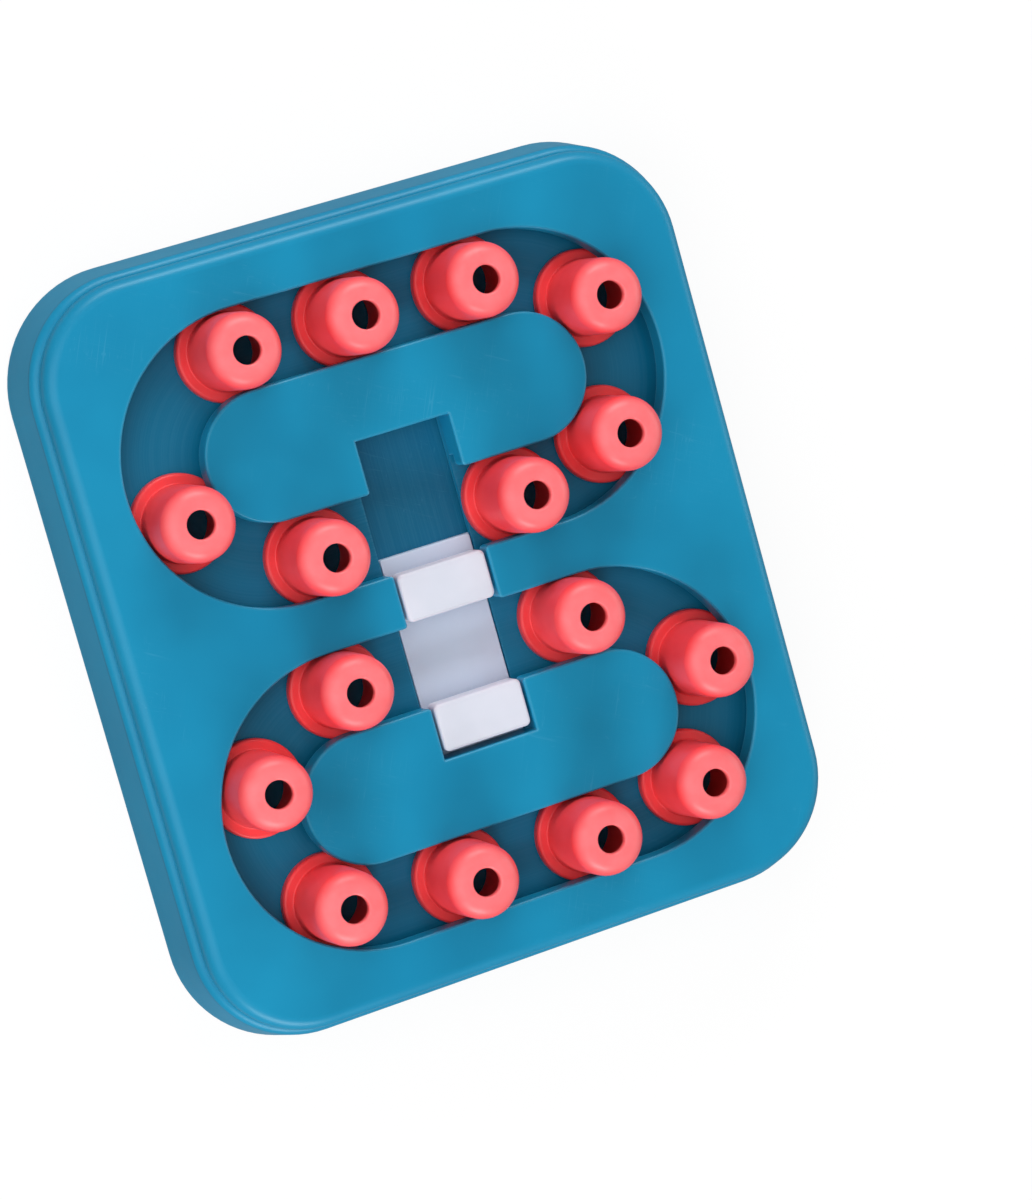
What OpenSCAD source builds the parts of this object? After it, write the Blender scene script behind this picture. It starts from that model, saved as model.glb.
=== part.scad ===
// Puzzle feeder board: sixteen hollow knobs slide round two ring tracks and a shuttle slides between them.
// Millimetres, +Z up, +Y towards the rear ring. The origin is on the standing surface, under the middle.

/* [Board] */
// Width of the cover's outline
board_w = 225.6; // [200:0.2:290]
// Depth of the cover's outline
board_d = 254.8; // [240:0.2:320]
// Corner radius of the cover's outline
corner_r = 34.4; // [28:0.2:42]
// Height from the tray's bottom edge to the top face
board_h = 31.5; // [26:0.5:45]
// Height of the top cover and of the island caps
cover_h = 7.5; // [6.25:0.25:10]
// Rounding of the cover's outer top edge
cover_fillet = 4.6; // [2:0.2:5.8]
// Wall of the large mouldings
wall = 2.6; // [2:0.1:3.2]
// Rounding of the openings' top edges
rim_fillet = 0.9; // [0.4:0.1:1.5]

/* [Tray side] */
// Depth of the shadow gap under the cover
reveal_w = 0.8; // [0.4:0.1:1.4]
// Height of the shadow gap under the cover
reveal_h = 1.6; // [1:0.1:2.4]
// How far the tray's shoulder stands out from the cover's outline
shoulder_out = 2.6; // [2:0.1:4]
// Rounding of the tray's shoulder
shoulder_r = 3.2; // [2.6:0.1:4]
// Draft of the tray's outer wall in degrees
side_draft = 7.6; // [2:0.2:12]

/* [Tracks] */
// Width of the border beside the rings
side_border = 16.9; // [14:0.1:21]
// Width of the border behind and in front of the rings
end_border = 18.5; // [15.4:0.1:23]
// Width of the divider between the rings at its narrowest
divider_w = 18.2; // [15:0.1:24]
// Gap between a knob's body and the rims beside it
body_play = 0.9; // [0.6:0.05:1.2]
// Gap between a flange and the walls of its recess
flange_play = 1.2; // [0.9:0.05:1.6]
// Gap between a flange and the rims above it
flange_clear = 0.6; // [0.4:0.05:1]
// Thickness of the tray's deck, which is the tracks' floor
floor_t = 2.5; // [2:0.1:3.5]
// Thickness of the walls that stand on the deck beside the tracks
track_wall = 2; // [1.6:0.1:2.6]

/* [Knobs] */
// Height of a knob
knob_h = 30.6; // [25:0.2:37]
// Diameter of a knob just above its flange
body_d = 26; // [21:0.1:28]
// How far a knob's flange stands out from its body
flange_out = 3.6; // [3:0.1:4.2]
// Thickness of a knob's flange
flange_h = 3.9; // [3:0.1:4.8]
// How much a knob's radius tapers towards its shoulder
knob_taper = 0.5; // [0.1:0.1:1]
// Rounding of a knob's shoulder
knob_round = 5.6; // [3:0.1:6.6]
// Wall of a knob at its shoulder
knob_wall = 2.5; // [1.8:0.1:3.2]
// Diameter of the hole in a knob's crown
hole_d = 9.5; // [7.8:0.1:12]
// Thickness of a knob's crown
crown_t = 2.8; // [2:0.1:4]
// How far the knobs of the two inner rows lean towards the divider within their play
inner_lean = 0.8; // [0:0.1:0.8]

/* [Shuttle] */
// Width of the shuttle's caps
cap_w = 31.6; // [26:0.2:38]
// Length of each cap along the slide
cap_len = 16.4; // [14:0.2:19.6]
// How far a cap's middle stands inside the island's edge when it is home in a notch
cap_in = 7.7; // [7:0.1:9]
// Rounding of the caps' top edges
cap_fillet = 1.3; // [0.6:0.1:2]
// Gap beside the caps
cap_gap = 1.0; // [0.6:0.1:1.6]
// How far the plate stands out past each cap
end_tab = 5.1; // [3:0.1:6.2]
// How far the caps overhang their necks, so that flanges can pass
cap_undercut = 4.2; // [3.6:0.1:4.6]
// Thickness of the plate's side rails
rail_t = 1.2; // [1:0.1:2]

/* [Feet and screws] */
// How far the feet lift the tray's bottom edge
foot_stand = 1; // [0.6:0.1:3]
// Diameter of a rubber foot
foot_d = 16; // [12:0.5:19]
// Screw shank diameter
screw_d = 2.8; // [2.2:0.1:3.4]
// Screw head diameter
screw_head_d = 5.8; // [4.8:0.1:7]

/* [Hidden] */
$fn = 96;

teal = [0.15, 0.53, 0.67];
deep_teal = [0.11, 0.42, 0.55];
coral = [0.97, 0.33, 0.33];
ivory = [0.87, 0.88, 0.92];
steel = [0.72, 0.73, 0.75];
black = [0.12, 0.12, 0.13];

eps = 0.01;
past = 1;
bite = 0.02;

// Heights above the standing surface
top_z = foot_stand + board_h;
seam_z = top_z - cover_h;
floor_z = seam_z - flange_h - flange_clear;
deck_z = floor_z - floor_t;
rail_gap = 0.3;
groove_depth = floor_t + rail_gap + rail_t;
bed_z = floor_z - groove_depth;
skin_z = top_z - wall;

// Ring tracks: the rims fill the board up to its borders and the divider
rim_r = (board_d - 2 * end_border - divider_w) / 4;
ring_pitch = 2 * rim_r + divider_w;
ring_straight = board_w - 2 * (side_border + rim_r);
half_run = ring_straight / 2;
flange_d = body_d + 2 * flange_out;
slot_w = body_d + 2 * body_play;
recess_w = flange_d + 2 * flange_play;
track_r = rim_r - slot_w / 2;
island_r = rim_r - slot_w;
recess_out_r = track_r + recess_w / 2;
recess_in_r = track_r - recess_w / 2;
track_h = top_z - floor_z;
rib_t = 1.8;

// Free track and the knobs' places along it, counter-clockwise from the right end of the rear straight
arc_len = PI * track_r;
track_len = 2 * (ring_straight + arc_len);
free_len = track_len - 8 * flange_d;
// Gaps between the knobs as shares of the free track. The rear ring's start at the rear right and the front
// ring's at the inner right, each a little way from the right end of its straight.
rear_gaps = [9.9, 8.4, 34.4, 16.7, 38.7, 6.6, 17.2, 12.9];
front_gaps = [51.1, 11.8, 16.6, 13.6, 12.4, 9.2, 10.5, 19.6];
rear_start = 10.1;
front_start = 5.4;

function sum(v, n) = n == 0 ? 0 : v[n - 1] + sum(v, n - 1);
function seat(start, gaps, n) = start + n * flange_d + free_len * sum(gaps, n) / sum(gaps, len(gaps));
function on_arc(cx, from, s) =
    let (a = from + s / arc_len * 180) [cx + track_r * cos(a), track_r * sin(a)];
function track_point(s) =
    s > track_len ? track_point(s - track_len) :
    s < ring_straight ? [half_run - s, track_r] :
    s < ring_straight + arc_len ? on_arc(-half_run, 90, s - ring_straight) :
    s < 2 * ring_straight + arc_len ? [s - 1.5 * ring_straight - arc_len, -track_r] :
    on_arc(half_run, -90, s - 2 * ring_straight - arc_len);
// An inner knob leans towards the divider: side is 1 on the rear ring and -1 on the front ring
function leaned(p, side) =
    (abs(p.x) < half_run && sign(p.y) == -side) ? [p.x, p.y - side * inner_lean] : p;
function knob_place(i) =
    let (rear = i <= 8)
    let (side = rear ? 1 : -1)
    let (s = rear ? seat(rear_start, rear_gaps, i - 1) : seat(front_start, front_gaps, i - 9))
    let (p = leaned(track_point(s), side))
    [p.x, p.y + side * ring_pitch / 2];
function knob_name(i) = str("knob_", i < 10 ? "0" : "", i);

// Shuttle, at rest with its front cap home in the front island's notch
home_y = ring_pitch / 2 - island_r + cap_in;
middle_off = 0.4;
cap_pitch = home_y + middle_off;
shuttle_travel = 2 * home_y - cap_pitch;
shuttle_y = -shuttle_travel / 2;
cap_places = [shuttle_y + cap_pitch / 2, shuttle_y - cap_pitch / 2];
gap_w = cap_w + 2 * cap_gap;
notch_play = 2.2;
notch_end = home_y + cap_len / 2 + notch_play;
corner_round = 1.6;
cap_corner = 2;
cap_skirt = 2;
cap_boss_h = 2.4;
neck_top = top_z - cap_skirt - cap_boss_h;
neck_w = cap_w - 6.6;
neck_len = cap_len - 2 * cap_undercut;

// The shuttle's plate, its rails and its bed
plate_play = 0.4;
plate_drop = 0.3;
plate_fillet = 0.4;
plate_corner = 1;
rail_out = 2.2;
end_gap = 1;
plate_len = cap_pitch + cap_len + 2 * end_tab;
plate_w = gap_w - 2 * plate_play;
plate_top = floor_z - plate_drop;
groove_len = plate_len + shuttle_travel + 2 * end_gap;
rail_w = plate_w + 2 * rail_out;
rail_top = deck_z - rail_gap;
bed_slot_w = rail_w + 2 * plate_play;
bed_t = 2.2;
bed_wall = 2.4;
bed_w = bed_slot_w + 2 * bed_wall;
bed_end = 11.5;
bed_len = groove_len + 2 * bed_end;
bed_corner = 3;
bed_clear = 2;

// Screws, their bosses under the cover and islands and their pads on the tray
pilot_d = screw_d + 0.1;
clear_d = screw_d + 0.6;
head_h = 2;
head_round = 1;
head_sink = head_h + 0.3;
head_hole_d = screw_head_d + 0.6;
cross_l = 3.2;
cross_w = 0.7;
cross_h = 1;
point_h = 1.6;
point_d = 0.6;
boss_d = 7.2;
boss_apart = track_wall + boss_d / 2 + 0.8;
bed_boss_top = floor_z + 3.6;
tip_gap = 0.6;
pilot_top = top_z - 2;
cap_pilot_top = top_z - 1;
spandrel_x = board_w / 2 - 20.8;
corner_in = [12.8, 35.4];
divider_screw_x = gap_w / 2 + 13.2;
island_screw_x = gap_w / 2 + 15.2;
bed_screw_x = 10;
cover_bosses = [
    for (sx = [-1, 1], sy = [-1, 1]) [sx * (board_w / 2 - corner_in.x), sy * (board_d / 2 - corner_in.y)],
    for (sx = [-1, 1]) [sx * spandrel_x, 0],
    for (sx = [-1, 1]) [sx * divider_screw_x, 0],
    for (sy = [-1, 1]) [0, sy * (ring_pitch / 2 + recess_out_r + boss_apart)]
];
rear_island_bosses = [for (sx = [-1, 1]) [sx * island_screw_x, ring_pitch / 2]];
island_bosses = concat(rear_island_bosses, [for (p = rear_island_bosses) [p.x, -p.y]]);
bed_bosses = [
    for (sx = [-1, 1], sy = [-1, 1]) [sx * bed_screw_x, sy * (groove_len / 2 + boss_apart)]
];

// Feet
foot_flange = foot_stand + 1.4;
foot_in = [24.8, 19.4];
foot_plug_d = 7.2;
foot_hole_d = foot_plug_d + 0.3;
foot_tube_d = foot_hole_d + 4;
foot_plug_h = 5;
foot_edge = 0.8;
foot_places = [
    for (sx = [-1, 1], sy = [-1, 1]) [sx * (board_w / 2 - foot_in.x), sy * (board_d / 2 - foot_in.y)]
];

// Ribs under the tray, at shares of its half width and half depth
rib_h = 8;
rib_x = [for (share = [0.372, 0.709]) share * board_w / 2];
rib_y = [for (share = [0.22, 0.659]) share * board_d / 2];

// Side of the tray: the drafted wall is a tangent of the shoulder's round
shoulder_z = seam_z - reveal_h - shoulder_r;
tangent_out = shoulder_out - shoulder_r + shoulder_r * cos(side_draft);
tangent_z = shoulder_z + shoulder_r * sin(side_draft);
function side_out(z) = tangent_out + (tangent_z - z) * tan(side_draft);

// Places a copy at every point of a list
module at(points) {
    for (p = points) translate([p.x, p.y, 0]) children();
}

module on_rings() {
    for (side = [-1, 1]) translate([0, side * ring_pitch / 2, 0]) children();
}

// Long round: two half circles of radius r joined by the ring's straights
module stadium(r) {
    translate([half_run, 0]) circle(r);
    translate([-half_run, 0]) circle(r);
    square([ring_straight, 2 * r], center = true);
}

module round_rect(w, d, r) {
    square([w - 2 * r, d], center = true);
    square([w, d - 2 * r], center = true);
    for (sx = [-1, 1], sy = [-1, 1]) translate([sx * (w / 2 - r), sy * (d / 2 - r)]) circle(r);
}

// Carries a half profile round a rounded rectangle. $reach is the outline's distance from the profile's axis.
module round_outline(w, d, r) {
    for (sx = [-1, 1], sy = [-1, 1])
        translate([sx * (w / 2 - r), sy * (d / 2 - r), 0])
            rotate_extrude() let ($reach = r) children();
    rotate([90, 0, 0])
        linear_extrude(height = d - 2 * r, center = true) both_ways() let ($reach = w / 2) children();
    rotate([90, 0, 90])
        linear_extrude(height = w - 2 * r, center = true) both_ways() let ($reach = d / 2) children();
}

module both_ways() {
    children();
    mirror([1, 0]) children();
}

// Carries a half profile round a long round whose end circles have the radius $reach
module round_stadium(r) {
    for (side = [-1, 1]) translate([side * half_run, 0, 0]) rotate_extrude() let ($reach = r) children();
    rotate([90, 0, 90])
        linear_extrude(height = ring_straight, center = true) both_ways() let ($reach = r) children();
}

// Corner of a square cut that leaves a round of radius r behind. The round bites a little past its tangents.
module corner_cut(r) {
    difference() {
        translate([-past, -past]) square(r + past);
        translate([r, r]) circle(r + bite);
    }
}

// Half profile of a solid with a rounded top edge
module rounded_profile(f, low = seam_z, high = top_z) {
    translate([0, low]) square([$reach, high - low - f]);
    translate([0, low]) square([$reach - f, high - low]);
    intersection() {
        translate([$reach - f, high - f]) circle(f);
        translate([$reach - f, high - f]) square(f);
    }
}

// Half profile of an opening's cutter, which rounds the rim at its top
module flared_profile(f) {
    translate([0, floor_z - past]) square([$reach, track_h + 2 * past]);
    difference() {
        translate([0, top_z - f]) square([$reach + f, f + past]);
        translate([$reach + f, top_z - f]) circle(f + bite);
    }
}

// Outline of the recess that the flanges run in under the cover, grown by g all round
module cover_recess(g = 0) {
    on_rings() stadium(recess_out_r + g);
    square([gap_w + 2 * g, ring_pitch], center = true);
}

// Notch of a rear island cap: from the island's inner edge to the notch's end, grown by g
module notch(g) {
    from = ring_pitch / 2 - island_r - past;
    translate([-gap_w / 2 - g, from]) square([gap_w + 2 * g, notch_end + g - from]);
}

module tray_profile() {
    polygon([[0, foot_stand], [$reach + side_out(foot_stand), foot_stand],
        [$reach + tangent_out, tangent_z], [0, tangent_z]]);
    square([$reach + shoulder_out - shoulder_r, seam_z - reveal_h]);
    translate([$reach + shoulder_out - shoulder_r, shoulder_z]) circle(shoulder_r + bite);
    square([$reach - reveal_w, seam_z]);
}

// The tray's inside, clear of its outer wall, below and above the deck
module tray_inside_profile() {
    low = -past;
    across = wall / cos(side_draft);
    polygon([[0, low], [$reach + side_out(low) - across, low],
        [$reach + side_out(floor_z) - across, floor_z], [0, floor_z]]);
    square([$reach - reveal_w - wall, seam_z + past]);
}

// Ribs under the tray's deck
module tray_ribs() {
    for (x = rib_x, side = [-1, 1])
        translate([side * x - rib_t / 2, -board_d / 2, deck_z - rib_h]) cube([rib_t, board_d, rib_h + eps]);
    for (y = rib_y, side = [-1, 1])
        translate([-board_w / 2, side * y - rib_t / 2, deck_z - rib_h]) cube([board_w, rib_t, rib_h + eps]);
}

// Room for the shuttle's bed between the ribs
module bed_room() {
    translate([0, 0, deck_z - rib_h - past]) linear_extrude(height = rib_h + past)
        square([bed_w + 2 * bed_clear, bed_len + 2 * bed_clear], center = true);
}

module post(d, from, to) {
    translate([0, 0, from]) cylinder(d = d, h = to - from);
}

// One moulding: drafted outer wall and flat deck, open underneath, with ribs and the tubes of the feet
module base_tray() {
    color(teal) difference() {
        union() {
            difference() {
                round_outline(board_w, board_d, corner_r) tray_profile();
                difference() {
                    round_outline(board_w, board_d, corner_r) tray_inside_profile();
                    translate([0, 0, deck_z]) linear_extrude(height = floor_t)
                        square([board_w, board_d], center = true);
                }
            }
            intersection() {
                difference() {
                    tray_ribs();
                    bed_room();
                }
                round_outline(board_w, board_d, corner_r) tray_inside_profile();
            }
            at(foot_places) post(foot_tube_d, foot_flange, deck_z + eps);
            at(bed_bosses) post(boss_d, floor_z - eps, bed_boss_top);
        }
        translate([0, 0, deck_z - past]) linear_extrude(height = floor_t + 2 * past)
            square([gap_w, groove_len], center = true);
        at(cover_bosses) post(clear_d, deck_z - past, floor_z + past);
        at(island_bosses) post(clear_d, deck_z - past, floor_z + past);
        at(bed_bosses) post(pilot_d, deck_z - past, bed_boss_top - 1);
        at(foot_places) post(foot_hole_d, 0, deck_z);
    }
}

// Cutter of the hollow under the skin of the cover and of the island caps
module hollow() {
    translate([0, 0, seam_z - past]) linear_extrude(height = skin_z - seam_z + past) children();
}

// Walls that stand on the tray's deck and carry the cover and the island caps
module standing() {
    translate([0, 0, floor_z]) linear_extrude(height = seam_z - floor_z + eps) children();
}

// Frame round both rings. Its rims overhang the tracks and its walls stand on the tray's deck.
module top_cover() {
    color(teal) difference() {
        union() {
            difference() {
                round_outline(board_w, board_d, corner_r) rounded_profile(cover_fillet);
                hollow() difference() {
                    round_rect(board_w - 2 * wall, board_d - 2 * wall, corner_r - wall);
                    cover_recess(track_wall);
                }
            }
            standing() difference() {
                cover_recess(track_wall);
                cover_recess();
            }
            at(cover_bosses) post(boss_d, floor_z, skin_z + eps);
        }
        on_rings() round_stadium(rim_r) flared_profile(rim_fillet);
        gap_cutter(ring_pitch - 2 * rim_r + 2 * past);
        finger_tips();
        at(cover_bosses) post(pilot_d, floor_z - past, pilot_top);
    }
}

// Cutter of the gap that the shuttle's caps slide through, centred on the origin, with rounded rims
module gap_cutter(length) {
    rotate([90, 0, 0])
        linear_extrude(height = length, center = true)
            both_ways() let ($reach = gap_w / 2) flared_profile(rim_fillet);
}

// Rounds the upright corners of the two fingers that make the divider
module finger_tips() {
    tip_y = ring_pitch / 2 - rim_r;
    translate([0, 0, seam_z - past]) linear_extrude(height = cover_h + 2 * past)
        for (sx = [0, 1], sy = [0, 1]) mirror([sx, 0]) mirror([0, sy])
            translate([gap_w / 2, -tip_y]) corner_cut(corner_round);
}

// Outline of a rear island's hollow, inside the wall that stands on the deck
module island_hollow() {
    difference() {
        translate([0, ring_pitch / 2]) stadium(recess_in_r - track_wall);
        notch(track_wall);
    }
}

// Cap of the rear island. Its rims overhang the track all round.
module island_cap() {
    difference() {
        union() {
            difference() {
                translate([0, ring_pitch / 2, 0]) round_stadium(island_r) rounded_profile(rim_fillet);
                hollow() island_hollow();
            }
            standing() difference() {
                translate([0, ring_pitch / 2]) stadium(recess_in_r);
                island_hollow();
            }
            at(rear_island_bosses) post(boss_d, floor_z, skin_z + eps);
        }
        notch_cutter();
        at(rear_island_bosses) post(pilot_d, floor_z - past, pilot_top);
    }
}

// Cutter of an island's notch, with rounded rims and mouth corners
module notch_cutter() {
    mouth_y = ring_pitch / 2 - island_r;
    length = notch_end - mouth_y + past;
    translate([0, notch_end - length / 2, 0]) gap_cutter(length);
    translate([0, mouth_y, 0]) rotate([90, 0, 90])
        linear_extrude(height = gap_w, center = true)
            let ($reach = notch_end - mouth_y) flared_profile(rim_fillet);
    for (side = [-1, 1]) translate([side * gap_w / 2, notch_end, 0])
        rotate_extrude() let ($reach = eps) flared_profile(rim_fillet);
    translate([0, 0, seam_z - past]) linear_extrude(height = cover_h + 2 * past)
        for (sx = [0, 1]) mirror([sx, 0]) translate([gap_w / 2, mouth_y]) corner_cut(corner_round);
}

module island_rear() {
    color(teal) island_cap();
}

module island_front() {
    color(teal) rotate([0, 0, 180]) island_cap();
}

// Bed that closes the shuttle's groove from below and leaves an undercut for the plate's rails
module shuttle_bed() {
    color(deep_teal) difference() {
        translate([0, 0, bed_z - bed_t]) linear_extrude(height = deck_z - bed_z + bed_t)
            round_rect(bed_w, bed_len, bed_corner);
        translate([0, 0, bed_z]) linear_extrude(height = groove_depth)
            square([bed_slot_w, groove_len], center = true);
        at(bed_bosses) post(clear_d, bed_z - bed_t - past, deck_z + past);
    }
}

// Plate with a rail along each side and two necks for the caps
module shuttle_plate() {
    color(ivory) difference() {
        translate([0, shuttle_y, 0]) {
            round_outline(plate_w, plate_len, plate_corner) rounded_profile(plate_fillet, bed_z, plate_top);
            translate([0, 0, bed_z]) linear_extrude(height = rail_top - bed_z)
                round_rect(rail_w, plate_len, plate_corner);
            for (side = [-1, 1]) translate([0, side * cap_pitch / 2, bed_z])
                linear_extrude(height = neck_top - bed_z) round_rect(neck_w, neck_len, plate_corner);
        }
        for (y = cap_places) translate([0, y, 0]) {
            post(clear_d, bed_z - past, top_z);
            post(head_hole_d, bed_z - past, bed_z + head_sink);
        }
    }
}

module shuttle_cap(y) {
    color(ivory) translate([0, y, 0]) difference() {
        union() {
            difference() {
                round_outline(cap_w, cap_len, cap_corner) rounded_profile(cap_fillet);
                translate([0, 0, seam_z - past]) linear_extrude(height = cover_h - cap_skirt + past)
                    round_rect(cap_w - 2 * cap_skirt, cap_len - 2 * cap_skirt, cap_corner / 2);
            }
            post(boss_d - 1, neck_top, top_z - cap_skirt + eps);
        }
        post(pilot_d, neck_top - past, cap_pilot_top);
    }
}

module shuttle_cap_rear() {
    shuttle_cap(cap_places[0]);
}

module shuttle_cap_front() {
    shuttle_cap(cap_places[1]);
}

// Pan-head screw that points up, with the head's seat at z and its tip at the height given
module screw(z, tip) {
    head_r = screw_head_d / 2;
    translate([0, 0, z - head_h]) difference() {
        rotate_extrude() intersection() {
            union() {
                square([head_r - head_round, head_h]);
                translate([0, head_round]) square([head_r, head_h - head_round]);
                translate([head_r - head_round, head_round]) circle(head_round);
            }
            square([screw_head_d, head_h]);
        }
        for (turn = [0, 90]) rotate([0, 0, turn])
            translate([-cross_l / 2, -cross_w / 2, -past]) cube([cross_l, cross_w, past + cross_h]);
    }
    post(screw_d, z - eps, tip - point_h);
    translate([0, 0, tip - point_h]) cylinder(d1 = screw_d, d2 = point_d, h = point_h);
}

module cover_screws() {
    color(steel) at(cover_bosses) screw(deck_z, pilot_top - tip_gap);
}

module island_screws() {
    color(steel) at(island_bosses) screw(deck_z, pilot_top - tip_gap);
}

module bed_screws() {
    color(steel) at(bed_bosses) screw(bed_z - bed_t, bed_boss_top - 1 - tip_gap);
}

module cap_screws() {
    color(steel) at([for (y = cap_places) [0, y]]) screw(bed_z + head_sink, cap_pilot_top - tip_gap);
}

// Push-in feet: a round pad with a plug that fits a tube of the tray
module rubber_feet() {
    color(black) at(foot_places) rotate_extrude() {
        square([foot_d / 2 - foot_edge, foot_flange]);
        translate([0, foot_edge]) square([foot_d / 2, foot_flange - foot_edge]);
        translate([foot_d / 2 - foot_edge, foot_edge]) circle(foot_edge);
        square([foot_plug_d / 2, foot_flange + foot_plug_h]);
    }
}

// Half section of a knob that stands on z = 0: flange, tapered body, round shoulder, cavity and hole
module knob_section() {
    soft = 1.1;
    inner = 2.4;
    hole_edge = 0.9;
    flange_r = flange_d / 2;
    body_r = body_d / 2;
    head_r = body_r - knob_taper;
    cavity_r = head_r - knob_wall;
    hole_r = hole_d / 2;
    shoulder = min(knob_round, head_r - hole_r - hole_edge);
    difference() {
        union() {
            square([flange_r, flange_h - soft]);
            square([flange_r - soft, flange_h]);
            translate([flange_r - soft, flange_h - soft]) circle(soft);
            polygon([[0, 0], [body_r, 0], [body_r, flange_h], [head_r, knob_h - shoulder],
                [0, knob_h - shoulder]]);
            square([head_r - shoulder, knob_h]);
            intersection() {
                translate([head_r - shoulder, knob_h - shoulder]) circle(shoulder);
                square([flange_r, knob_h + past]);
            }
        }
        translate([0, -past]) square([cavity_r, knob_h - crown_t - inner + past]);
        translate([0, -past]) square([cavity_r - inner, knob_h - crown_t + past]);
        translate([cavity_r - inner, knob_h - crown_t - inner]) circle(inner);
        square([hole_r, knob_h + past]);
        difference() {
            translate([0, knob_h - hole_edge]) square([hole_r + hole_edge, hole_edge + past]);
            translate([hole_r + hole_edge, knob_h - hole_edge]) circle(hole_edge);
        }
    }
}

module knob(i) {
    p = knob_place(i);
    color(coral) translate([p.x, p.y, floor_z]) rotate_extrude() knob_section();
}

base_tray();
top_cover();
island_rear();
island_front();
shuttle_bed();
shuttle_plate();
shuttle_cap_rear();
shuttle_cap_front();
cover_screws();
island_screws();
bed_screws();
cap_screws();
rubber_feet();
for (i = [1 : 16]) knob(i);
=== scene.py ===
import math

import bmesh
import bpy
from mathutils import Matrix, Vector


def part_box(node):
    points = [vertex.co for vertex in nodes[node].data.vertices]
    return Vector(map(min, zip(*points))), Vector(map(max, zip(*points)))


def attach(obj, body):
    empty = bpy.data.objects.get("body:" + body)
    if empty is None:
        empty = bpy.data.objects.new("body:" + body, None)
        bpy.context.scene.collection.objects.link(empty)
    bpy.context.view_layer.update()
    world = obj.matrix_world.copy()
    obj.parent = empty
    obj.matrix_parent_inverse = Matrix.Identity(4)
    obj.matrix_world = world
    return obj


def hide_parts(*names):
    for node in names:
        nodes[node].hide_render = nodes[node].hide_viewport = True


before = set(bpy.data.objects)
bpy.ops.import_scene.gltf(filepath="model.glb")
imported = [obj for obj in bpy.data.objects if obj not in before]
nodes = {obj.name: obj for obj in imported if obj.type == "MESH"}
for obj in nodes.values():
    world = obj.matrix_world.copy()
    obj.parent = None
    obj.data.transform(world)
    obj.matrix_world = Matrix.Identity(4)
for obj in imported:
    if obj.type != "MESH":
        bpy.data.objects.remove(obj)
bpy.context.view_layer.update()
scene = bpy.context.scene
mm = 0.001
print("frame loaded with", len(nodes), "nodes")


# camera, standing where the photograph was taken from

camera = {
    "place": (-0.4008, 0.1579, 1.3100),
    "right": (0.9040, -0.2663, 0.3344),  # the camera's own three directions
    "up": (0.2925, 0.9558, -0.0297),
    "back": (-0.3117, 0.1247, 0.9420),
    "lens": 121.95,
    "sensor": 36,
}


def placeCamera(look):
    data = bpy.data.cameras.new("camera")
    data.lens = look["lens"]
    data.sensor_width = look["sensor"]
    obj = bpy.data.objects.new("camera", data)
    turn = Matrix((look["right"], look["up"], look["back"])).transposed()
    obj.matrix_world = Matrix.Translation(look["place"]) @ turn.to_4x4()
    scene.collection.objects.link(obj)
    scene.camera = obj


placeCamera(camera)


# shader sockets

def srgb(red, green, blue):
    def straight(c):
        c /= 255
        return c / 12.92 if c <= 0.04045 else ((c + 0.055) / 1.055) ** 2.4

    return straight(red), straight(green), straight(blue), 1


class Wire:  # wraps one output socket, so that shader maths reads as plain expressions
    def __init__(self, tree, socket=None):
        self.tree = tree
        self.socket = socket

    def node(self, kind, settings=None, sockets=None, out=0):
        made = self.tree.nodes.new("ShaderNode" + kind)
        for name, value in (settings or {}).items():
            setattr(made, name, value)
        for name, value in (sockets or {}).items():
            if isinstance(value, Wire):
                self.tree.links.new(value.socket, made.inputs[name])
            else:
                made.inputs[name].default_value = value
        return Wire(self.tree, made.outputs[out]) if made.outputs else None

    def place(self):  # object coordinates
        return self.node("TexCoord", out=3)

    def bump(self, height):
        return self.node("Bump", {}, {"Strength": 1, "Distance": 1, "Height": height})

    def maths(self, operation, *values):
        return self.node("Math", {"operation": operation}, dict(enumerate(values)))

    def __add__(self, other):
        return self.maths("ADD", self, other)

    __radd__ = __add__

    def __sub__(self, other):
        return self.maths("SUBTRACT", self, other)

    def __rsub__(self, other):
        return self.maths("SUBTRACT", other, self)

    def __mul__(self, other):
        return self.maths("MULTIPLY", self, other)

    __rmul__ = __mul__

    def __pow__(self, other):
        return self.maths("POWER", self, other)

    def __abs__(self):
        return self.maths("ABSOLUTE", self)

    def most(self, other):
        return self.maths("MAXIMUM", self, other)

    def rise(self, low, high):  # 0 up to low, 1 from high on, smooth between
        settings = {"interpolation_type": "SMOOTHSTEP"}
        return self.node("MapRange", settings, {"Value": self, "From Min": low, "From Max": high})

    def band(self, low, high, soft):  # 1 between low and high
        return self.rise(low - soft, low + soft) * (1 - self.rise(high - soft, high + soft))

    def part(self, axis):
        return self.node("SeparateXYZ", {}, {0: self}, out="XYZ".index(axis))

    def joined(self, y, z):  # a vector with this value as its x
        return self.node("CombineXYZ", {}, {0: self, 1: y, 2: z})

    def stretched(self, x, y, z):
        return self.node("VectorMath", {"operation": "MULTIPLY"}, {0: self, 1: (x, y, z)})

    def turned(self, degrees):
        settings = {"rotation_type": "Z_AXIS"}
        return self.node("VectorRotate", settings, {"Vector": self, "Angle": math.radians(degrees)})

    def against(self, other):
        return self.node("VectorMath", {"operation": "DOT_PRODUCT"}, {0: self, 1: other}, out=1)

    def noise(self, scale, detail=2, rough=0.5, twist=0):
        sockets = {"Vector": self, "Scale": scale, "Detail": detail, "Roughness": rough, "Distortion": twist}
        return self.node("TexNoise", {}, sockets)

    def shade(self, low, high):  # two colours mixed by this value
        return self.node("Mix", {"data_type": "RGBA"}, {0: self, 6: low, 7: high}, out=2)


def startMaterial(name):
    made = bpy.data.materials.new(name)
    made.use_nodes = True
    made.node_tree.nodes.clear()
    return made, Wire(made.node_tree)


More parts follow.
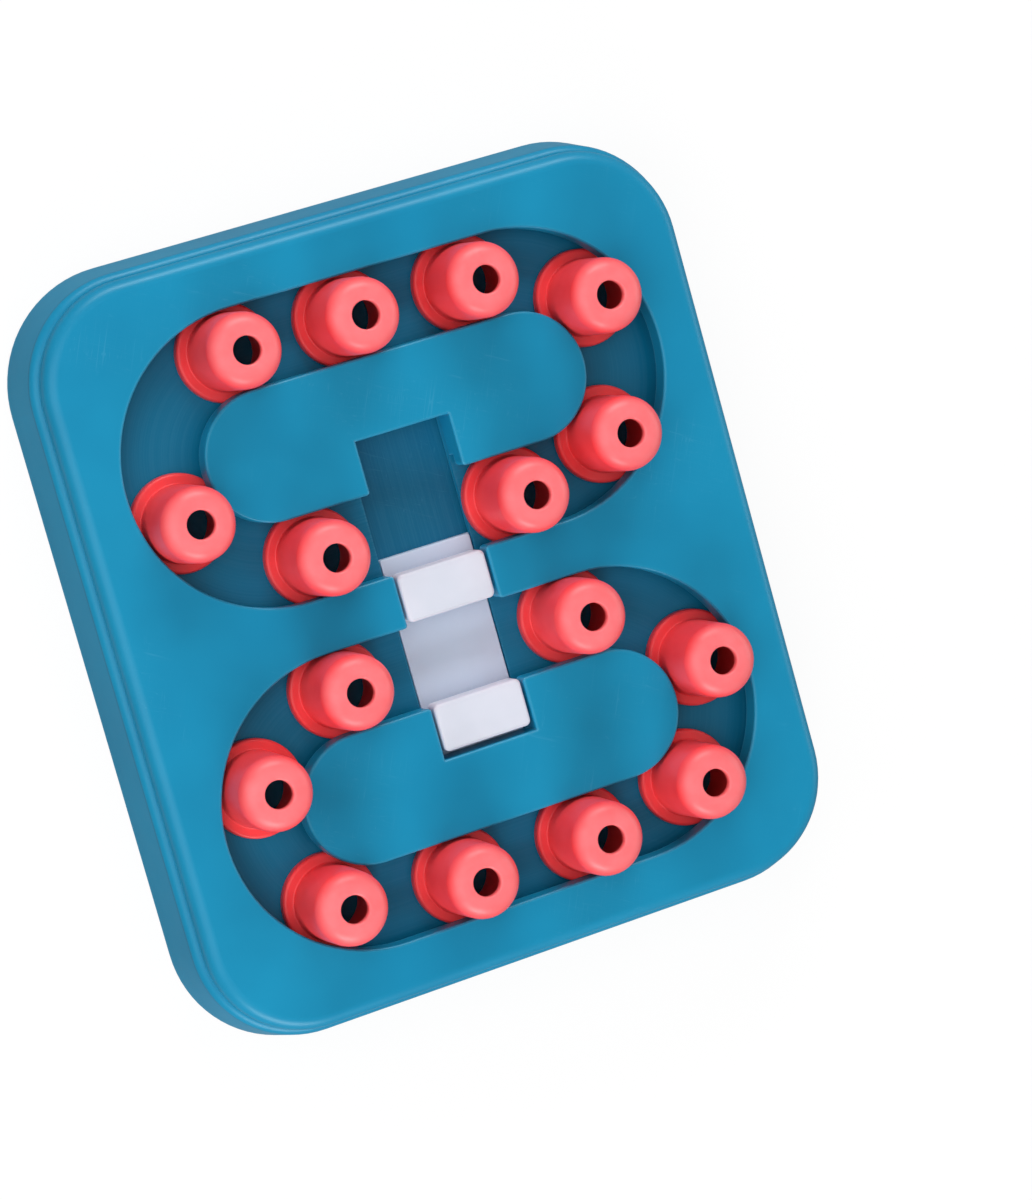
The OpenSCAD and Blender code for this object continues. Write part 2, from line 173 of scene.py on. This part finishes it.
def endMaterial(start, sockets):
    skin = start.node("BsdfPrincipled", {}, sockets)
    start.node("OutputMaterial", {}, {"Surface": skin})


# wear, the painted sheen along rounded edges, and the one recipe that all mouldings share

hairline = {"low": 0.497, "high": 0.503, "soft": 0.003}
wearAndSheen = {
    "cloudRough": 0.55, "clouded": (0.3, 0.7), "smudgeRough": 0.6, "smudgeTwist": 0.4, "grainRough": 0.6,
    "scratches": ((24, 1.3 * mm, 60 * mm), (-61, 1.7 * mm, 45 * mm)),  # degrees, spacing and run
    "scratchGloss": 0.10, "scratchDepth": 0.004 * mm, "patchScale": 0.7, "patched": (0.5, 0.68),
    "edgeLeast": 0.45, "edgeSmudge": 0.55, "edgeGloss": 0.06, "edgeSpread": 0.12,
}


def hairlines(place, degrees, spacing, run):  # fine scratches that run one way
    streaks = place.turned(degrees).stretched(1 / spacing, 1 / run, 1 / spacing).noise(1, 1)
    return streaks.band(hairline["low"], hairline["high"], hairline["soft"])


def edgeMask(start, look):  # 1 on edges, by how far a rounded normal leans from the plain one
    rounded = start.node("Bevel", {"samples": 4}, {"Radius": look["edgeReach"]})
    plain = start.node("NewGeometry", out=1)
    return (1 - rounded.against(plain)).rise(look["edgeSharp"], look["edgeSharp"] + wearAndSheen["edgeSpread"])


def mouldedPlastic(name, look, extra):
    made, start = startMaterial(name)
    place = start.place()
    cloud = place.noise(look["cloud"], 3, wearAndSheen["cloudRough"])
    smudge = place.noise(look["smudge"], 4, wearAndSheen["smudgeRough"], wearAndSheen["smudgeTwist"])
    grain = place.noise(1 / look["grain"], 2, wearAndSheen["grainRough"])
    wave = place.noise(1 / look["wave"], 1)
    patch = place.noise(look["smudge"] * wearAndSheen["patchScale"], 2).rise(*wearAndSheen["patched"])
    oneWay, otherWay = (hairlines(place, *run) for run in wearAndSheen["scratches"])
    scratches = oneWay.most(otherWay) * patch
    edges = edgeMask(start, look) * (wearAndSheen["edgeLeast"] + wearAndSheen["edgeSmudge"] * smudge)

    colour = cloud.rise(*wearAndSheen["clouded"]).shade(look["deep"], look["light"])
    # rounded edges are mixed towards a lighter colour: partly real wear, partly a painted highlight along the rims
    colour = (edges * look["edgeFade"]).shade(colour, look["wornAndSheen"])
    colour = (scratches * look["scratchFade"]).shade(colour, look["wornAndSheen"])
    gloss = look["rough"] + look["roughSpread"] * (smudge - 0.5)
    gloss = gloss + wearAndSheen["scratchGloss"] * scratches - wearAndSheen["edgeGloss"] * edges
    height = grain * look["grainDepth"] + wave * look["waveDepth"] - scratches * wearAndSheen["scratchDepth"]
    colour, gloss, height = extra(place, colour, gloss, height)
    endMaterial(start, {
        "Base Color": colour, "Roughness": gloss, "Normal": start.bump(height),
        "IOR": look["ior"], "Specular Tint": look["tint"],
        "Subsurface Weight": look["glow"], "Subsurface Radius": look["glowReach"], "Subsurface Scale": 1,
    })
    return made


# teal mouldings: tray, cover, island caps and the shuttle's bed

teal = {
    "light": srgb(12, 140, 181), "deep": srgb(6, 131, 172), "wornAndSheen": srgb(92, 176, 208),
    "cloud": 16, "smudge": 34, "grain": 0.45 * mm, "grainDepth": 0.006 * mm,
    "wave": 34 * mm, "waveDepth": 0.10 * mm, "rough": 0.36, "roughSpread": 0.14,
    # the teal's rounded edges take much of the lighter colour: a painted highlight along the rims, with some real
    # wear
    "edgeReach": 1.3 * mm, "edgeSharp": 0.010, "edgeFade": 0.85, "scratchFade": 0.16,
    "ior": 1.41, "tint": (0.75, 0.97, 1, 1), "glow": 0.0, "glowReach": (0.0002, 0.0008, 0.001),
}
# the shuttle's bed, down in its groove, gets a darker copy of the teal: painted shade
shadedTeal = dict(teal, light=srgb(8, 112, 150), deep=srgb(3, 102, 139))
track = {
    "pitch": 118 * mm, "straight": 92 * mm, "radius": 36 * mm, "reach": 16.6 * mm, "reachSoft": 1.5 * mm,
    "floor": 20.5 * mm, "floorBand": 0.4 * mm, "floorSoft": 0.2 * mm,
    "shadedFloor": srgb(0, 100, 138), "shade": 0.6,
    "across": 1900, "along": 9, "rough": 0.7, "ridges": (0.42, 0.66),
    "rubFade": 0.06, "rubGloss": 0.10, "rubDepth": 0.003 * mm, "sweptGloss": 0.05,
}
drawn = {
    "across": 1500, "along": 14, "rough": 0.7, "ridges": (0.40, 0.66),
    "rubFade": 0.07, "rubGloss": 0.12, "rubDepth": 0.004 * mm,
}


def slideMarksAndFloorShade(place, colour, gloss, height):  # arcs that the knobs' flanges rub into the tracks' floor, and painted shade that darkens that floor
    x = (abs(place.part("X")) - track["straight"] / 2).most(0)
    y = abs(abs(place.part("Y")) - track["pitch"] / 2)
    away = (x * x + y * y) ** 0.5 - track["radius"]
    low, high = track["floor"] - track["floorBand"], track["floor"] + track["floorBand"]
    onFloor = place.part("Z").band(low, high, track["floorSoft"])
    swept = abs(away).rise(track["reach"], track["reach"] - track["reachSoft"]) * onFloor
    lines = (away * track["across"]).joined(place.part("X") * track["along"], place.part("Y") * track["along"])
    rub = swept * lines.noise(1, 3, track["rough"]).rise(*track["ridges"])
    # painted shade: the floor down in the tracks is mixed towards a darker teal
    colour = (onFloor * track["shade"]).shade(colour, track["shadedFloor"])
    colour = (rub * track["rubFade"]).shade(colour, teal["wornAndSheen"])
    gloss = gloss - track["sweptGloss"] * swept + track["rubGloss"] * rub
    return colour, gloss, height - rub * track["rubDepth"]


def drawnMarks(place, colour, gloss, height):  # straight streaks that the shuttle's plate leaves on its bed
    lines = place.stretched(drawn["across"], drawn["along"], 1)
    rub = lines.noise(1, 3, drawn["rough"]).rise(*drawn["ridges"])
    colour = (rub * drawn["rubFade"]).shade(colour, teal["wornAndSheen"])
    return colour, gloss + drawn["rubGloss"] * rub, height - rub * drawn["rubDepth"]


tealPlastic = mouldedPlastic("teal_plastic", teal, slideMarksAndFloorShade)
shadedTealPlastic = mouldedPlastic("deep_teal_plastic", shadedTeal, drawnMarks)


# white shuttle

white = {
    "light": srgb(218, 225, 238), "deep": srgb(210, 218, 231), "wornAndSheen": srgb(232, 234, 240),
    "cloud": 40, "smudge": 60, "grain": 0.4 * mm, "grainDepth": 0.005 * mm,
    "wave": 18 * mm, "waveDepth": 0.04 * mm, "rough": 0.42, "roughSpread": 0.12,
    "edgeReach": 0.4 * mm, "edgeSharp": 0.03, "edgeFade": 0.5, "scratchFade": 0.2,
    "ior": 1.46, "tint": (1, 1, 1, 1), "glow": 0.0, "glowReach": (0.001, 0.001, 0.001),
}
# painted light: the low plate is mixed towards a bluer, lighter white
plateLightPaint = {"top": 20.6 * mm, "soft": 0.8 * mm, "colour": srgb(214, 234, 255), "share": 0.8}


def paintPlateLight(place, colour, gloss, height):  # the plate, below its two caps, is painted a bluer, lighter white than the caps: painted bluish light
    low = 1 - place.part("Z").rise(plateLightPaint["top"], plateLightPaint["top"] + plateLightPaint["soft"])
    return (low * plateLightPaint["share"]).shade(colour, plateLightPaint["colour"]), gloss, height


whitePlastic = mouldedPlastic("white_plastic", white, paintPlateLight)


# coral knobs

coral = {
    "light": srgb(255, 74, 79), "deep": srgb(248, 62, 68), "wornAndSheen": srgb(255, 140, 136),
    "cloud": 55, "smudge": 90, "grain": 0.35 * mm, "grainDepth": 0.004 * mm,
    "wave": 12 * mm, "waveDepth": 0.02 * mm, "rough": 0.36, "roughSpread": 0.10,
    "edgeReach": 0.3 * mm, "edgeSharp": 0.05, "edgeFade": 0.25, "scratchFade": 0.15,
    "ior": 1.42, "tint": (1, 1, 1, 1), "glow": 0.12, "glowReach": (0.0016, 0.0004, 0.0003),
}
# painted light: the knobs' tops are mixed towards a paler coral
crown = {
    "from": 49.0 * mm, "soft": 3.0 * mm, "colour": srgb(255, 145, 150), "share": 0.8,
    "patches": 160, "patchLeast": 0.75, "patchSpread": 0.5, "gloss": 0.03,
}


def litCrown(place, colour, gloss, height):  # the crowns are painted paler than the sides, in patches: painted light on the knobs' tops
    crownLight = place.part("Z").rise(crown["from"] - crown["soft"], crown["from"] + crown["soft"])
    patchy = crownLight * (crown["patchLeast"] + crown["patchSpread"] * (place.noise(crown["patches"], 3) - 0.5))
    return (patchy * crown["share"]).shade(colour, crown["colour"]), gloss + crown["gloss"] * patchy, height


coralPlastic = mouldedPlastic("coral_plastic", coral, litCrown)

knobLook = {
    "count": 16, "height": 30.6, "flangeRadius": 16.6, "flangeHeight": 3.9, "flangeRounding": 1.1,
    "bodyRadius": 13.0, "headRadius": 12.5, "shoulder": 5.6, "crease": 0.5,
    "holeRadius": 4.75, "holeRounding": 0.8, "crown": 2.8, "cavityRadius": 10.0, "cavityRounding": 2.4,
    "footOutside": 0.35, "footInside": 0.4, "holeInside": 0.3, "support": 0.12, "around": 64,
}
leastArcSteps = 3


def roundedSection(corners, support):
    # corners are (radius, height, rounding) in mm, going round the section
    # each arc gets an extra point on the straight at both its ends, the support's distance away
    points = []
    for i, (r, z, rounding) in enumerate(corners):
        here = Vector((r, z))
        back = (Vector(corners[i - 1][:2]) - here).normalized()
        ahead = (Vector(corners[(i + 1) % len(corners)][:2]) - here).normalized()
        if not rounding:
            points.append(here)
            continue
        half = back.angle(ahead) / 2
        reach = rounding / math.tan(half)
        middle = here + (back + ahead).normalized() * rounding / math.sin(half)
        first, last = here + back * reach - middle, here + ahead * reach - middle
        turn = first.angle_signed(last)
        steps = leastArcSteps + int(rounding)
        points.append(middle + first + back * support)
        for k in range(steps + 1):
            points.append(middle + Matrix.Rotation(-turn * k / steps, 2) @ first)
        points.append(middle + last + ahead * support)
    return points


def lathe(shape, section, around, middle, closed=True):
    # section is a list of (radius, height) in mm; a radius may be a function of the angle
    angles = [2 * math.pi * k / around for k in range(around)]
    rings, onAxis = [], []
    for r, z in section:
        onAxis.append(r == 0)
        ring = []
        for a in angles:
            reach = (r(a) if callable(r) else r) * mm
            ring.append(shape.verts.new(middle + Vector((reach * math.cos(a), reach * math.sin(a), z * mm))))
        rings.append(ring)
    for i in range(len(rings) if closed else len(rings) - 1):
        j = (i + 1) % len(rings)
        if onAxis[i] and onAxis[j]:
            continue
        for k in range(around):
            n = (k + 1) % around
            shape.faces.new((rings[i][k], rings[i][n], rings[j][n], rings[j][k]))


def cleanMesh(name, shape):
    bmesh.ops.remove_doubles(shape, verts=shape.verts, dist=1e-7)
    bmesh.ops.recalc_face_normals(shape, faces=shape.faces)
    mesh = bpy.data.meshes.new(name)
    shape.to_mesh(mesh)
    shape.free()
    return mesh


def finishPiece(name, shape, finish, body, stands):
    mesh = cleanMesh(name, shape)
    mesh.materials.append(finish)
    mesh.shade_smooth()
    piece = bpy.data.objects.new(name, mesh)
    scene.collection.objects.link(piece)
    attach(piece, body)
    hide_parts(*stands)
    return piece


def knobSection(look):
    under = look["height"] - look["crown"]
    return roundedSection([
        (look["cavityRadius"], 0, look["footInside"]),
        (look["flangeRadius"], 0, look["footOutside"]),
        (look["flangeRadius"], look["flangeHeight"], look["flangeRounding"]),
        (look["bodyRadius"], look["flangeHeight"], look["crease"]),
        (look["headRadius"], look["height"], look["shoulder"]),
        (look["holeRadius"], look["height"], look["holeRounding"]),
        (look["holeRadius"], under, look["holeInside"]),
        (look["cavityRadius"], under, look["cavityRounding"]),
    ], look["support"])


for number in range(1, knobLook["count"] + 1):
    name = "knob_%02d" % number
    low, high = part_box(name)
    foot = Vector(((low.x + high.x) / 2, (low.y + high.y) / 2, low.z))
    shape = bmesh.new()
    lathe(shape, knobSection(knobLook), knobLook["around"], foot)
    finishPiece(name + "_cup", shape, coralPlastic, name, [name])
print("knobs turned")


# screws, seen from below

def standingsOf(name, across, spare=0.5):
    # axis and lowest and highest point of each copy in a node, in metres
    # a copy's points lie within its diameter, across, and a little to spare, both in mm
    groups = []
    for vertex in nodes[name].data.vertices:
        for group in groups:
            if (vertex.co.xy - group[0].xy).length < (across + spare) * mm:
                group.append(vertex.co.copy())
                break
        else:
            groups.append([vertex.co.copy()])
    found = []
    for group in groups:
        xs, ys, zs = zip(*group)
        found.append(((min(xs) + max(xs)) / 2, (min(ys) + max(ys)) / 2, min(zs), max(zs)))
    return found


steel = {
    "bright": (0.70, 0.70, 0.71, 1), "dull": (0.50, 0.50, 0.52, 1), "stain": (0.30, 0.27, 0.25, 1),
    "metal": 1.0, "rough": 0.26, "edgeReach": 0.2 * mm, "edgeSharp": 0.08, "edgeGloss": 0.08,
    "turning": 900, "turned": (0.3, 0.7), "turningGloss": 0.16, "turningDepth": 0.006 * mm,
    "tarnish": 260, "tarnished": (0.52, 0.72), "tarnishFade": 0.35, "tarnishGloss": 0.18,
}


def brightSteel(look):
    made, start = startMaterial("steel")
    place = start.place()
    turning = place.noise(look["turning"], 3, 0.7)
    tarnish = place.noise(look["tarnish"], 3, 0.6).rise(*look["tarnished"])
    edges = edgeMask(start, look)
    colour = turning.rise(*look["turned"]).shade(look["dull"], look["bright"])
    colour = (tarnish * look["tarnishFade"] * (1 - edges)).shade(colour, look["stain"])
    gloss = look["rough"] + look["turningGloss"] * turning + look["tarnishGloss"] * tarnish
    endMaterial(start, {
        "Base Color": colour, "Roughness": gloss - look["edgeGloss"] * edges,
        "Normal": start.bump(turning * look["turningDepth"]), "Metallic": look["metal"],
    })
    return made


steelFinish = brightSteel(steel)

screwLook = {
    "headRadius": 2.9, "headHeight": 2.0, "bevel": 0.1, "collar": 0.25, "fillet": 0.15, "filletHeight": 0.2,
    "dome": ((0.35, 0.02), (0.6, 0.1), (0.8, 0.3), (0.93, 0.6), (1, 0.9)),  # shares of the radius, and heights
    "outer": 1.4, "root": 1.02, "pitch": 1.1, "turnSteps": 8, "ridgeSlope": 4, "threadFrom": 0.4,
    "point": 1.6, "pointCurve": 0.8, "threadEnd": 0.15, "tipRadius": 0.12, "tipHeight": 0.08,
    "crossReach": 1.6, "crossWidth": 0.7, "crossDepth": 1.1, "crossOver": 1.0,
    "reachDeep": 0.62, "widthDeep": 0.7, "around": 24, "turnEach": 1.7, "sharpFrom": 38,
}
screwBodies = {"cover_screws": "board", "island_screws": "board", "bed_screws": "board", "cap_screws": "shuttle"}


def threadReach(look, z, taper):  # the thread's radius at one height, as a function of the angle
    def reach(angle):
        turn = (z / look["pitch"] - angle / (2 * math.pi)) % 1
        ridge = max(0, 1 - abs(turn - 0.5) * look["ridgeSlope"])
        return (look["root"] + (look["outer"] - look["root"]) * ridge) * taper ** look["pointCurve"]

    return reach


def screwSection(look, length):  # the head's top is at z = 0 and the shank points up
    head, neck = look["headRadius"], look["headHeight"]
    section = [(0, 0)] + [(head * share, z) for share, z in look["dome"]]
    section += [(head, neck - look["bevel"]), (head - look["bevel"], neck), (look["outer"] + look["collar"], neck)]
    section.append((look["root"] + look["fillet"], neck + look["filletHeight"]))
    z = neck + look["threadFrom"]
    while z < length - look["threadEnd"]:
        taper = min(1, (length - z) / look["point"])
        section.append((threadReach(look, z, taper), z))
        z += look["pitch"] / look["turnSteps"]
    return section + [(look["tipRadius"], length - look["tipHeight"]), (0, length)]


def crossMesh(look):  # two crossed bars, narrower towards the recess's bottom
    cross = bmesh.new()
    for turn in (0, 90):
        for vertex in bmesh.ops.create_cube(cross, size=1)["verts"]:
            deep = vertex.co.z > 0
            reach = look["crossReach"] * (look["reachDeep"] if deep else 1)
            vertex.co.x *= 2 * reach * mm
            vertex.co.y *= look["crossWidth"] * (look["widthDeep"] if deep else 1) * mm
            vertex.co.z = (look["crossDepth"] if deep else -look["crossOver"]) * mm
            vertex.co.rotate(Matrix.Rotation(math.radians(turn), 3, "Z"))
    mesh = bpy.data.meshes.new("cross")
    cross.to_mesh(mesh)
    cross.free()
    return mesh


def screwMesh(look, length):
    shape = bmesh.new()
    lathe(shape, screwSection(look, length), look["around"], Vector(), closed=False)
    body = bpy.data.objects.new("screw", cleanMesh("screw", shape))
    tool = bpy.data.objects.new("cross", crossMesh(look))
    for obj in (body, tool):
        scene.collection.objects.link(obj)
    cut = body.modifiers.new("cross", "BOOLEAN")
    cut.operation, cut.solver, cut.object, cut.use_self = "DIFFERENCE", "EXACT", tool, True
    result = bpy.data.meshes.new_from_object(body.evaluated_get(bpy.context.evaluated_depsgraph_get()))
    for obj in (body, tool):
        bpy.data.objects.remove(obj)
    return result


def placeScrews(name, body, look):
    shape = bmesh.new()
    cut = {}
    for count, (x, y, low, high) in enumerate(standingsOf(name, 2 * look["headRadius"])):
        length = round((high - low) / mm, 3)
        if length not in cut:
            cut[length] = screwMesh(look, length)
        before = len(shape.verts)
        shape.from_mesh(cut[length])
        shape.verts.ensure_lookup_table()
        fresh = shape.verts[before:]
        turn = Matrix.Rotation(look["turnEach"] * count, 3, "Z")
        bmesh.ops.rotate(shape, verts=fresh, cent=Vector(), matrix=turn)
        bmesh.ops.translate(shape, verts=fresh, vec=(x, y, low))
    piece = finishPiece(name + "_cut", shape, steelFinish, body, [name])
    piece.data.set_sharp_from_angle(angle=math.radians(look["sharpFrom"]))


for name, body in screwBodies.items():
    placeScrews(name, body, screwLook)
print("screws cut")


# rubber feet

rubber = {
    "light": (0.030, 0.030, 0.032, 1), "deep": (0.014, 0.014, 0.015, 1), "dust": (0.20, 0.19, 0.18, 1),
    "cloud": 120, "clouded": (0.3, 0.7), "grain": 1700, "grainGloss": 0.14, "grainDepth": 0.03 * mm,
    "dustGrain": 420, "dusted": (0.56, 0.74), "dustFade": 0.25,
    "edgeReach": 0.4 * mm, "edgeSharp": 0.05, "edgeFade": 0.2, "edgeGloss": 0.1, "rough": 0.72, "ior": 1.5,
}


def softRubber(look):
    made, start = startMaterial("black_rubber")
    place = start.place()
    cloud = place.noise(look["cloud"], 3)
    grain = place.noise(look["grain"], 3, 0.7)
    dust = place.noise(look["dustGrain"], 4, 0.7).rise(*look["dusted"])
    edges = edgeMask(start, look)
    colour = cloud.rise(*look["clouded"]).shade(look["deep"], look["light"])
    colour = ((dust * look["dustFade"]).most(edges * look["edgeFade"])).shade(colour, look["dust"])
    endMaterial(start, {
        "Base Color": colour, "Roughness": look["rough"] + look["grainGloss"] * grain - look["edgeGloss"] * edges,
        "Normal": start.bump(grain * look["grainDepth"]), "IOR": look["ior"],
    })
    return made


rubberFinish = softRubber(rubber)

footLook = {
    "radius": 8.0, "pad": 2.4, "padFoot": 0.7, "padTop": 0.5,
    "plugRadius": 3.6, "height": 7.4, "plugFoot": 0.2, "plugTop": 0.8,
    "boreRadius": 1.2, "boreFrom": 2.0, "boreRounding": 0.3,
    "dimpleRadius": 1.0, "dimpleDepth": 0.35, "dimpleRounding": 0.15,
    "rings": (2.2, 4.2, 6.2), "ringDepth": 0.45, "ringMouth": 0.5, "ringFloor": 0.25, "ringRounding": 0.12,
    "support": 0.03, "around": 64,
}


def footSection(look):
    radius, plug, bore, pad = look["radius"], look["plugRadius"], look["boreRadius"], look["pad"]
    corners = [(radius, 0, look["padFoot"]), (radius, pad, look["padTop"]), (plug, pad, look["plugFoot"])]
    corners += [(plug, look["height"], look["plugTop"]), (bore, look["height"], look["boreRounding"])]
    corners += [(bore, look["boreFrom"], look["boreRounding"]), (0, look["boreFrom"], 0)]
    corners += [(0, look["dimpleDepth"], 0), (look["dimpleRadius"], look["dimpleDepth"], look["dimpleRounding"])]
    for ring in look["rings"]:
        mouth, floor = look["ringMouth"], look["ringFloor"]
        for away, z in ((-mouth, 0), (-floor, look["ringDepth"]), (floor, look["ringDepth"]), (mouth, 0)):
            corners.append((ring + away, z, look["ringRounding"]))
    return roundedSection(corners, look["support"])


shape = bmesh.new()
for x, y, low, high in standingsOf("rubber_feet", 2 * footLook["radius"]):
    lathe(shape, footSection(footLook), footLook["around"], Vector((x, y, low)))
finishPiece("rubber_feet_pads", shape, rubberFinish, "board", ["rubber_feet"])
print("feet turned")


# the mouldings that stay as CAD made them take their finishes

finishes = {
    "base_tray": tealPlastic, "top_cover": tealPlastic, "island_rear": tealPlastic, "island_front": tealPlastic,
    "shuttle_bed": shadedTealPlastic, "shuttle_plate": whitePlastic,
    "shuttle_cap_rear": whitePlastic, "shuttle_cap_front": whitePlastic,
}
for name, finish in finishes.items():
    for slot in nodes[name].material_slots:
        slot.material = finish
print("mouldings finished")


# floor and light

lamps = {
    "rear": {"place": (0.20, 0.97, 0.50), "size": (0.75, 0.34), "power": 6.8, "colour": (1, 0.99, 0.98)},
    "front": {"place": (-0.28, -0.93, 0.45), "size": (0.6, 0.34), "power": 6.2, "colour": (1, 0.99, 0.98)},
    "left": {"place": (-0.50, 0.05, 0.64), "size": (0.8, 0.8), "power": 3.2, "colour": (1, 1, 1)},
    "right": {"place": (1.10, 0.00, 0.42), "size": (0.9, 0.45), "power": 2.4, "colour": (1, 1, 1)},
}
lampAim = Vector((0, 0, 0.03))
surround = {"horizon": 0.42, "overhead": 0.30, "fall": 1.5, "colour": (1, 1, 1, 1), "mirrored": 0.5}
ground = {"half": 12, "colour": (0.26, 0.26, 0.26, 1), "shown": 0.64, "glow": 1.42, "mirrored": 0.1}


def placeLamp(name, look):
    data = bpy.data.lights.new(name, "AREA")
    data.shape = "RECTANGLE"
    data.size, data.size_y = look["size"]
    data.energy = look["power"]
    data.color = look["colour"]
    obj = bpy.data.objects.new(name, data)
    place = Vector(look["place"])
    turn = (lampAim - place).to_track_quat("-Z", "Y").to_matrix()
    obj.matrix_world = Matrix.Translation(place) @ turn.to_4x4()
    scene.collection.objects.link(obj)


def seenStraight(start, mirrored):  # 1 for the camera and through glass, and a share of it in reflections
    rays = start.node("LightPath")
    glossy = Wire(start.tree, rays.socket.node.outputs["Is Glossy Ray"])
    through = Wire(start.tree, rays.socket.node.outputs["Is Transmission Ray"])
    return rays.most(glossy * mirrored).most(through)


def lightWorld(look):  # brighter at the horizon than overhead, and white where it is seen
    world = bpy.data.worlds.new("studio")
    world.use_nodes = True
    world.node_tree.nodes.clear()
    start = Wire(world.node_tree)
    low = 1 - start.node("TexCoord").part("Z").most(0)
    strength = look["overhead"] + (look["horizon"] - look["overhead"]) * low ** look["fall"]
    light = start.node("Background", {}, {"Color": look["colour"], "Strength": strength})
    shown = start.node("Background", {}, {"Color": (1, 1, 1, 1), "Strength": 1})
    mixed = start.node("MixShader", {}, {0: seenStraight(start, look["mirrored"]), 1: light, 2: shown})
    start.node("OutputWorld", {}, {"Surface": mixed})
    scene.world = world


def layFloor(look):  # grey paper with a glow that only makes it look white, so that it keeps the shadow
    made, start = startMaterial("floor")
    paper = start.node("BsdfDiffuse", {}, {"Color": look["colour"]})
    glow = start.node("Emission", {}, {"Color": (1, 1, 1, 1), "Strength": look["glow"]})
    share = seenStraight(start, look["mirrored"]) * look["shown"]
    mixed = start.node("MixShader", {}, {0: share, 1: paper, 2: glow})
    start.node("OutputMaterial", {}, {"Surface": mixed})
    shape = bmesh.new()
    bmesh.ops.create_grid(shape, x_segments=4, y_segments=4, size=look["half"])
    mesh = bpy.data.meshes.new("floor")
    shape.to_mesh(mesh)
    shape.free()
    mesh.materials.append(made)
    floor = bpy.data.objects.new("floor", mesh)
    scene.collection.objects.link(floor)


for name, look in lamps.items():
    placeLamp(name, look)
lightWorld(surround)
layFloor(ground)
scene.view_settings.view_transform = "Standard"
print("stage lit")

bpy.context.view_layer.update()
